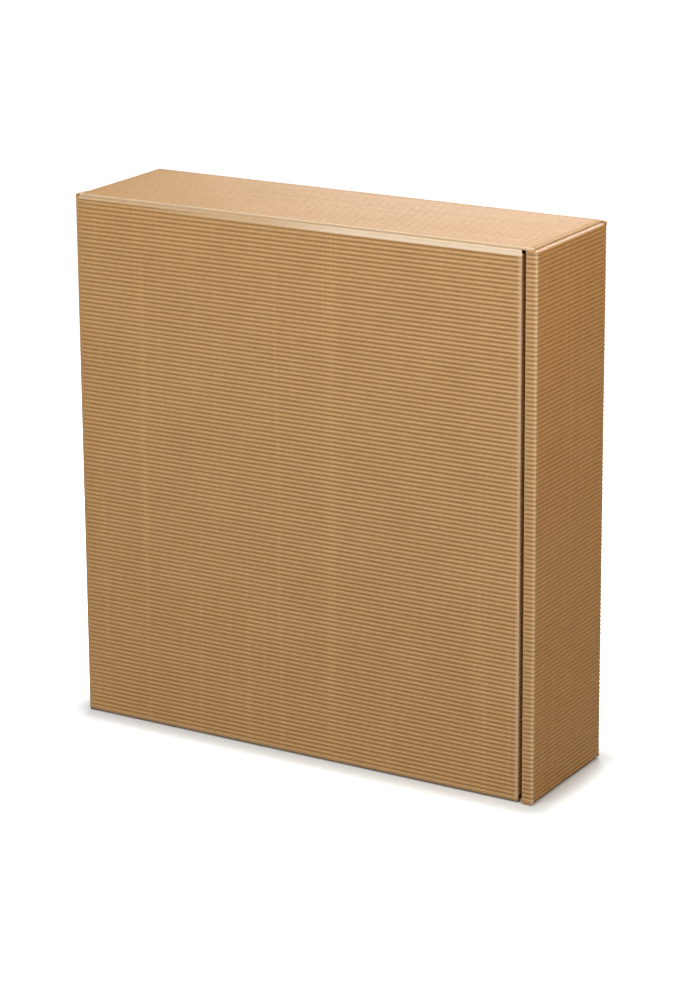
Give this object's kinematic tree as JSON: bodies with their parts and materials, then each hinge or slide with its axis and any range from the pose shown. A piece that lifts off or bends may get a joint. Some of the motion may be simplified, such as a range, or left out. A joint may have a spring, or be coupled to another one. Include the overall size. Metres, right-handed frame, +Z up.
{
  "type": "corrugated presentation carton",
  "caption": "Upright slim carton of ribbed open-flute kraft board, with a front lid hinged at one side that tucks in behind a slit beside a narrow double-walled edge.",
  "frame": {"origin": "middle of the base, on the plane of the rib crests it stands on", "axes": "+X along the width towards the slit side, +Y from the front lid to the back, +Z up along the height"},
  "size_m": [0.351, 0.098, 0.37],
  "materials": {
    "kraft_board": "matte"
  },
  "bodies": {
    "tray": {"tray": "kraft_board"},
    "lid": {"lid": "kraft_board"}
  },
  "joints": [
    {"name": "lid_hinge", "type": "hinge", "parent": "tray", "child": "lid", "pos_m": [-0.1747, -0.0482, 0], "axis": [0, 0, -1], "range_deg": [0, 180]}
  ]
}
